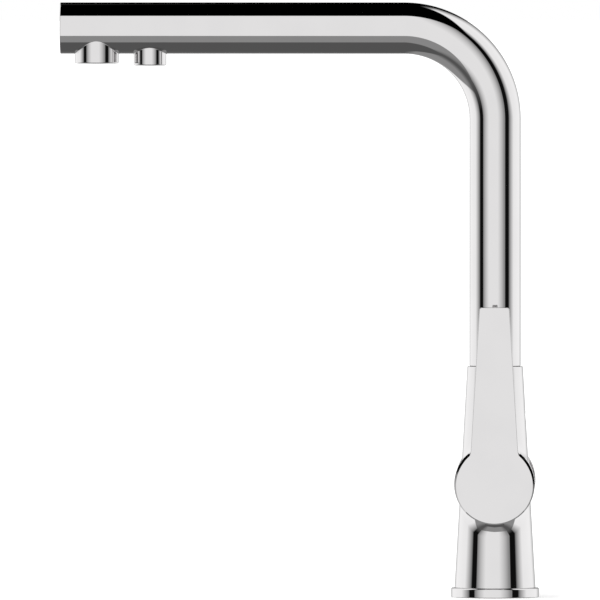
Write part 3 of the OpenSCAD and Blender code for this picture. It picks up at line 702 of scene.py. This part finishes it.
def plug_crown(plan):
    """The plug's outer face: the skirt's underside, a little sunk."""
    return under_hub(plan) - plug_sunk


plug_finish = moulded_finish("plug_plastic", dark=(0.2, 0.205, 0.21), light=(0.27, 0.275, 0.28),
                             roughness=0.35)
outline, out = (np.concatenate([g, g[-2::-1] * np.array([-1, 1])]) for g in lever_outline())
plan, depth, face_plan, face_depth = lever_plate(outline, out)
skirt_profile = rounded([(hub_inner, cup_lip, 0), (hub_inner, lever_rim, cup_edge),
                         (skirt_outer, lever_rim, cup_round), *[(skirt_outer, row, 0) for row in skirt_rows],
                         (skirt_outer, plate_lap, 0), (hub_inner, plate_lap, 0), (hub_inner, cup_lip, 0)])
skirt_out, skirt_along = skirt_profile[0].T
skirt_level = np.flatnonzero(np.isclose(skirt_out, skirt_outer) & (skirt_along >= skirt_rows[0] - WELD)
                             & (skirt_along <= skirt_rows[-1] + WELD))
skirt_low = skirt_columns // 2
plug_block = (skirt_level[0], skirt_level[-1], skirt_low - plug_reach, skirt_low + plug_reach)
boss_profile = rounded([(0, boss_low, 0), (boss_r, boss_low, boss_edge), (boss_r, plate_lap, 0),
                        (0, plate_lap, 0)])
plug_turn = full_turn(plug_columns)
plug_out = np.stack([np.cos(plug_turn), np.sin(plug_turn)], axis=1)
plug_plan = plug_seat + np.linspace(0, 1, plug_rings)[:, None, None] * plug_r * plug_out
for side, axis in (("mixer", ROUND_MIXER), ("filter", ROUND_FILTER)):
    plate = (on_axis(plan, depth, axis), on_axis(face_plan, face_depth, (np.zeros(3), *axis[1:])))
    skirt = turned(skirt_profile, axis, full_turn(skirt_columns, np.pi / 2))
    below = np.array([axis[1], axis[3], -axis[2]])
    rings, rim = rings_to_hole(block_edge(skirt[0], plug_block), below, plug_seat, plug_hole_r, under_hub)
    hole = blind_hole(rim, below, plug_seat, plug_hole_r, under_hub, plug_hole_floor)
    boss = turned(boss_profile, axis, full_turn(boss_columns))
    skin(f"{side}_lever_blade", [cells(plate), cells(skirt, [plug_block]), cells(rings), *hole, cells(boss)],
         f"{side}_handle", [f"{side}_lever"], chrome)
    crown = lifted(plug_plan, below, plug_crown)
    crown_rim = crown[0][-1]
    base_middle = np.broadcast_to(plug_seat @ below[:2] + plug_floor * below[2], crown_rim.shape)
    base_rim = crown_rim + ((base_middle - crown_rim) @ below[2])[:, None] * below[2]
    wall_face = np.broadcast_to(plug_out @ below[:2], crown_rim.shape)
    base_face = np.broadcast_to(-below[2], crown_rim.shape)
    wall = (np.stack([crown_rim, base_rim]), np.stack([wall_face, wall_face]))
    base = (np.stack([base_rim, base_middle]), np.stack([base_face, base_face]))
    skin(f"{side}_lever_plug", [cells(crown), cells(wall), cells(base)],
         f"{side}_handle", [f"{side}_plug"], plug_finish)


# Spout: one brass tube, 28 mm across, bent to an upright riser and a level arm, polished and chromed.
# Its foot turns on the bush, and two round holes in the arm's underside take the outlet collars.
tube_low, tube_high = (np.array(corner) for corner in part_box("spout_tube"))
tube_r = tube_high[1]
bore_r = tube_r - 1.2 * MM
riser_foot = tube_low[2]
arm_z = tube_high[2] - tube_r
arm_end = tube_low[0]
bend_r = 49.5 * MM
bend_start = arm_z - bend_r - riser_foot
arm_start = bend_start + bend_r * np.pi / 2
spout_length = arm_start - bend_r - arm_end
foot_round = 0.25 * MM
foot_bore_edge = 0.1 * MM
lip_r = tube_r - 0.22 * MM
lip_h = 0.3 * MM
lip_in_edge, lip_out_edge = 0.05 * MM, 0.15 * MM
tip_round = 0.5 * MM
tip_bore_edge = 0.2 * MM
main_r = 12 * MM
main_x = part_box("main_collar")[0][0] + main_r
filter_r = 9 * MM
filter_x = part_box("filter_collar")[0][0] + filter_r
seat_gap = 0.02 * MM
outlet_clear = 0.9 * MM
outlet_half_turn = 75 / 360
outlet_steps, outlet_rings = 17, 6
tube_columns = 144
riser_steps, bend_steps, arm_steps = 9, 49, 7
PAST_ARM = (np.array([arm_end, 0, arm_z]), Z, Y, -X)


def spout_frame(stations):
    """The spout's middle line at distances from its foot, and the direction that is outside the bend:
    straight up the riser, a quarter turn, straight along the arm."""
    angle = np.clip((stations - bend_start) / bend_r, 0, np.pi / 2)
    up = np.minimum(stations, bend_start)
    along = np.maximum(stations - bend_start - bend_r * np.pi / 2, 0)
    outside = np.stack([np.cos(angle), np.zeros_like(angle), np.sin(angle)], axis=1)
    middle = (np.array([-bend_r, 0, 0]) + bend_r * outside
              + (riser_foot + up)[:, None] * Z - along[:, None] * X)
    return middle, outside


def spout_shell(stations, radius):
    """A circle of one radius, carried along the spout's middle line and square to it at each station."""
    middle, outside = spout_frame(stations)
    angle = full_turn(tube_columns)
    out = np.cos(angle)[:, None] * outside[:, None] + np.sin(angle)[:, None] * Y
    return middle[:, None] + radius * out, out


def station_of(x):
    """The distance along the middle line of a place on the arm."""
    return arm_start - bend_r - x


def run_past(x, reach):
    """Stations across an outlet's block of cells."""
    return np.linspace(station_of(x + reach), station_of(x - reach), outlet_steps)


def under_tube(plan):
    """How far down the arm's underside lies over a level plan: a circle's arc across the arm."""
    return np.sqrt(tube_r ** 2 - plan[..., 1] ** 2) - arm_z


def under_bore(plan):
    """The same for the bottom of the arm's bore."""
    return np.sqrt(bore_r ** 2 - plan[..., 1] ** 2) - arm_z


filter_run = run_past(filter_x, filter_r + outlet_clear)
main_run = run_past(main_x, main_r + outlet_clear)
stations = np.concatenate([np.linspace(foot_round, bend_start, riser_steps),
                           np.linspace(bend_start, arm_start, bend_steps)[1:],
                           np.linspace(arm_start, filter_run[0], arm_steps)[1:-1], filter_run, main_run,
                           [spout_length - tip_round]])
outer, outer_face = spout_shell(stations, tube_r)
inner, inner_out = spout_shell(stations, bore_r)
half = int(round(outlet_half_turn * tube_columns))
columns = (tube_columns // 2 - half, tube_columns // 2 + half)
spout_patches, spout_blocks = [], []
for x, radius, run in ((filter_x, filter_r + seat_gap, filter_run), (main_x, main_r + seat_gap, main_run)):
    rows = np.searchsorted(stations, run[[0, -1]] - WELD)
    block = (*rows, *columns)
    middle = np.array([x, 0])
    rings, rim = rings_to_hole(block_edge(outer, block), DOWN, middle, radius, under_tube)
    inner_edge = block_edge(inner, block)
    share = np.linspace(0, 1, outlet_rings)[:, None, None]
    inner_plan = inner_edge[:, :2] * (1 - share) + (middle + radius * rim) * share
    inner_place, inner_face = lifted(inner_plan, DOWN, under_bore)
    inner_place[0] = inner_edge
    rim_face = np.broadcast_to(-rim @ DOWN[:2], rings[0][-1].shape)
    spout_patches += [cells(rings), cells((inner_place, -inner_face)),
                      cells((np.stack([rings[0][-1], inner_place[-1]]), np.stack([rim_face, rim_face])))]
    spout_blocks.append(block)
foot_rim = rounded([(bore_r, riser_foot + foot_round, 0), (bore_r, riser_foot, foot_bore_edge),
                    (lip_r, riser_foot, 0), (lip_r, riser_foot - lip_h, lip_in_edge),
                    (tube_r, riser_foot - lip_h, lip_out_edge), (tube_r, riser_foot + foot_round, 0)])
tip_rim = rounded([(tube_r, -tip_round, 0), (tube_r, 0, tip_round), (bore_r, 0, tip_bore_edge),
                   (bore_r, -tip_round, 0)])
spout_patches += [cells((outer, outer_face), spout_blocks), cells((inner, -inner_out), spout_blocks),
                  cells(turned(tip_rim, PAST_ARM, full_turn(tube_columns))),
                  cells(turned(foot_rim, UPRIGHT, full_turn(tube_columns)))]
skin("spout_pipe", spout_patches, "spout", ["spout_tube"], chrome)


# End plug: a cup turned from brass and soldered into the arm's end. It is polished and chromed with the arm,
# so only a hairline shows round it.
end_len = 6 * MM
end_floor = end_len / 3
end_wall = 2 * MM
end_r = bore_r - seat_gap
end_face_edge, end_rim_edge = 0.25 * MM, 0.2 * MM
end_columns = 120
ALONG_ARM = (np.array([arm_end, 0, arm_z]), Z, Y, X)
# This profile runs with the solid on its right, so its normals are turned over.
end_place, end_inward = rounded([(0, end_floor, 0), (end_r - end_wall, end_floor, 0),
                                 (end_r - end_wall, end_len, 0), (end_r, end_len, end_rim_edge),
                                 (end_r, 0, end_face_edge), (0, 0, 0)])
end_cup = turned((end_place, -end_inward), ALONG_ARM, full_turn(end_columns))
skin("arm_end_plug", [cells(end_cup)], "spout", ["end_plug"], chrome)


# Outlet collars: two turned and chromed rings, brazed into the arm's underside, threaded inside for the
# aerators. The wider one gives mixed water, the narrower one filtered water. A small hollow bead of braze
# runs round each where it meets the tube.
bead_r = 0.6 * MM
bead_steps = 8
collar_wall = 1.3 * MM
collar_round = 0.8 * MM
collar_mouth_edge = 0.25 * MM
collar_top_edge = 0.3 * MM
ledge_edge = 0.2 * MM
main_ledge_r = 7.7 * MM
filter_ledge_r = 4.22 * MM
collar_turn = full_turn(120)


def braze_bead(x, radius, angles):
    """The bead as rolled by a ball between the upright collar and the level tube, from one to the other."""
    out = np.stack([np.cos(angles), np.sin(angles), np.zeros_like(angles)], axis=1)
    y = (radius + bead_r) * np.sin(angles)
    drop = np.sqrt((tube_r + bead_r) ** 2 - y ** 2)
    ball = x * X + (radius + bead_r) * out + (arm_z - drop)[:, None] * Z
    to_tube = np.stack([np.zeros_like(y), -y, drop], axis=1) / (tube_r + bead_r)
    opening = np.arccos(np.einsum("ij,ij->i", -out, to_tube))[:, None]
    share = np.linspace(0, 1, bead_steps)[:, None, None]
    arm = (np.sin((1 - share) * opening) * -out + np.sin(share * opening) * to_tube) / np.sin(opening)
    return ball + bead_r * arm, -arm


for name, node, washer, x, radius, ledge_r in (
        ("main_outlet_collar", "main_collar", "main_seal", main_x, main_r, main_ledge_r),
        ("filter_outlet_collar", "filter_collar", "filter_seal", filter_x, filter_r, filter_ledge_r)):
    collar_low, collar_high = (corner[2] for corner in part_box(node))
    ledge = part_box(washer)[1][2]
    bore = radius - collar_wall
    stand = (np.array([x, 0, 0]), X, Y, Z)
    below_bead = rounded([(bore, ledge, 0), (bore, collar_low, collar_mouth_edge),
                          (radius, collar_low, collar_round), (radius, collar_low + MM, 0)])
    above_bead = rounded([(radius, collar_high - MM, 0), (radius, collar_high, collar_top_edge),
                          (ledge_r, collar_high, ledge_edge), (ledge_r, ledge, 0), (bore, ledge, 0)])
    runs = (turned(below_bead, stand, collar_turn), braze_bead(x, radius, collar_turn),
            turned(above_bead, stand, collar_turn))
    collar = [np.concatenate(rows) for rows in zip(*runs)]
    skin(name, [cells(collar)], "spout", [node], chrome)


# Aerators and the inner filter tube: two inserts moulded in pale plastic with drilled grids, screwed into the
# collars, and a soft white tube that is pushed onto the elbow and runs inside the spout.
dress(moulded_finish("aerator_plastic", dark=(0.5, 0.5, 0.5), light=(0.6, 0.6, 0.6), roughness=0.3),
      "main_aerator", "filter_aerator")
dress(moulded_finish("tube_plastic", dark=(0.7, 0.71, 0.72), light=(0.78, 0.79, 0.8), roughness=0.3),
      "inner_hose")


# Stage: a wide floor in matt white, which takes the object's soft shadow and glows a little to the eye alone.
# One broad soft lamp stands in front of the object, high on its left.
floor_half = 40
floor_drop = 0.05 * MM
floor_white = (0.97, 0.97, 0.97, 1)
floor_glow = 0.15
bpy.ops.mesh.primitive_plane_add(size=2 * floor_half, location=(0, 0, -floor_drop))
floor = bpy.context.object
floor.name = "floor"
floor.visible_glossy = False
floor_finish, floor_wire, floor_shader = new_finish("pale_floor", roughness=1.0, base_color=floor_white)
floor_shader.inputs["Specular IOR Level"].default_value = 0
to_eye = floor_wire.add("ShaderNodeLightPath").at("Is Camera Ray")
floor_wire.feed(floor_shader.inputs["Emission Color"], to_eye)
floor_shader.inputs["Emission Strength"].default_value = floor_glow
floor.data.materials.append(floor_finish)

sun = bpy.data.objects.new("soft_key", bpy.data.lights.new("soft_key", "SUN"))
sun.data.energy = 0.8
sun.data.angle = 0.6
sun.rotation_euler = (0.5, -0.35, 0)
sun.visible_glossy = False
bpy.context.scene.collection.objects.link(sun)


# Studio round the object: white for the eye and for soft light. What the metal mirrors is a photographer's
# box: a front panel that fades to its sides, a panel on each side, black between and above, a grey bench
# below, and a small patch of white backdrop straight behind.
box_turn = np.radians(3.2)
# Front panel, laid out on its wall: its four edges, how they slant and blur, and how it fades sideways.
panel_top, panel_bottom = 1.552, 0.705
panel_right, panel_left = 1.155, 1.25
panel_slant, panel_sag = 0.14, 0.1
panel_soft, top_soft, bottom_soft = 0.05, 0.04, 0.02
fade_slant = 0.08
fade_right, fade_left, fade_run = 0.28, 0.44, 0.7
fade_dim = 0.33
# Side panels: they brighten past the plane of their front edge, a wedge cuts them off above and a skirt
# below, and they fade to the rear by the angle from straight in front.
side_edge = np.array([1, 2.475, 0.26]) / np.linalg.norm([1, 2.475, 0.26])
side_soft = 0.03
side_rise, side_more = (0, 0.45, 0.18, 1.08), (0.45, 0.85, 0, 0.05)
side_quicker = 1.2
wedge_edge = np.array([0.785, 0.46, -0.44])
wedge_lift, wedge_soft = 0.06, 0.015
wedge_end = (0.975, 0.997)
skirt_edge = np.array([0.431, 0.237, 0.871])
skirt_soft = 0.03
rear_angle, rear_sooner = 150, 28
rear_run = (-10, 22)
rear_dusk = (0.86, 0.96, 0.3, -0.1)
# Bench with its darker strip and its darker part underneath, the black that is left, and the backdrop.
strip_rise, strip_end = (0.6, 1.35), (-0.03, 0.28)
under_rise, under_later = (65.5, 68.5), 16
bench_grey, bench_dark = 0.32, 0.11
bench_rise = (0.1, 0.5)
black = 0.006
black_end = (0.4, 0.8)
backdrop_rise = (174, 177)
near_nothing, least_toward = 1e-9, 1e-4


def studio():
    """The world's colour by direction: the box for mirrored rays, white for the rest. The front panel is laid
    out on a flat wall one unit in front, and the other edges are planes through the middle of the box."""
    world = bpy.data.worlds.new("studio")
    bpy.context.scene.world = world
    world.use_nodes = True
    world.cycles.sampling_method = "NONE"
    world.node_tree.nodes.clear()
    wire = Wire(world.node_tree)
    ray = wire.add("ShaderNodeSeparateXYZ", None, {0: wire.add("ShaderNodeTexCoord").at("Generated")})
    x, y, z = ray.at("X"), ray.at("Y"), ray.at("Z")
    x, y = x * np.cos(box_turn) - y * np.sin(box_turn), x * np.sin(box_turn) + y * np.cos(box_turn)
    side, above = abs(x), z > 0
    angle = wire.math("ARCCOSINE", -1 * y) * (180 / np.pi)
    ring = wire.math("SQRT", x * x + z * z + near_nothing)
    steep, flat = abs(z) / ring, side / ring
    toward = wire.math("MAXIMUM", -1 * y, least_toward)
    u, v = side / toward, z / toward

    def beyond(edge, height):
        """How far a direction lies beyond a plane that is alike on both sides."""
        return edge[0] * side + edge[1] * y + edge[2] * height

    right = x > 0
    slant = u + panel_slant * v
    fade = u + fade_slant * v - (fade_left + (fade_right - fade_left) * right)
    edge = slant - (panel_left + (panel_right - panel_left) * right)
    front = fade.ramp(0, fade_run, 1, fade_dim) * edge.ramp(-panel_soft, panel_soft, 1, 0)
    front = front * v.ramp(panel_top - top_soft, panel_top + top_soft, 1, 0)
    front = front * (v + panel_sag * u).ramp(-panel_bottom - bottom_soft, -panel_bottom + bottom_soft, 0, 1)

    past = beyond(side_edge, z)
    wedge = beyond(wedge_edge, abs(z) * (1 - wedge_lift * above)).ramp(-wedge_soft, wedge_soft, 0, 1)
    wedge = wedge * steep.ramp(*wedge_end, 1, 0)
    skirt = beyond(skirt_edge, z).ramp(-skirt_soft, skirt_soft, 0, 1)
    rear = angle - (rear_angle - rear_sooner * steep * steep * above)
    panel = (past * (1 + side_quicker * z * above)).ramp(*side_rise) + past.ramp(*side_more)
    panel = panel * past.ramp(-side_soft, side_soft, 0, 1)
    panel = panel * rear.ramp(*rear_run, 1, steep.ramp(*rear_dusk)) * (skirt + (wedge - skirt) * above)

    strip = slant.ramp(*strip_rise, 0, 1) * past.ramp(*strip_end, 1, 0)
    under = (angle - under_later * flat).ramp(*under_rise, 0, 1) * (1 - wedge)
    bench = bench_grey + (bench_dark - bench_grey) * wire.math("MAXIMUM", strip, under)
    bench = bench * steep.ramp(*bench_rise, 0, 1) * (1 - above)

    mirrored = wire.math("MAXIMUM", front, panel)
    for light in (bench, black * steep.ramp(*black_end, 1, 0), angle.ramp(*backdrop_rise, 0, 1)):
        mirrored = wire.math("MAXIMUM", mirrored, light)
    glossy = wire.add("ShaderNodeLightPath").at("Is Glossy Ray")
    white = 1 + (mirrored - 1) * glossy
    colour = wire.add("ShaderNodeCombineColor", None, {0: white, 1: white, 2: white})
    sky = wire.add("ShaderNodeBackground", None, {"Color": colour})
    wire.add("ShaderNodeOutputWorld", None, {"Surface": sky})


studio()


# Camera: far off with a long lens, so that the picture has hardly any perspective. It stands a little above
# the middle of the object and a little to the right.
lens = 1200
sensor = 36
picture_w = 327.5 * MM
aim = Vector((-106.5 * MM, 0, 162 * MM))
azimuth, elevation = np.radians(1.0), np.radians(1.25)
distance = picture_w * lens / sensor
back = Vector((np.sin(azimuth) * np.cos(elevation), -np.cos(azimuth) * np.cos(elevation), np.sin(elevation)))
camera = bpy.data.objects.new("camera", bpy.data.cameras.new("camera"))
bpy.context.scene.collection.objects.link(camera)
camera.data.lens = lens
camera.data.sensor_width = sensor
camera.data.clip_end = 200
camera.location = aim + distance * back
camera.rotation_mode = "QUATERNION"
camera.rotation_quaternion = (-back).to_track_quat("-Z", "Y")
bpy.context.scene.camera = camera
bpy.context.scene.view_settings.view_transform = "Standard"
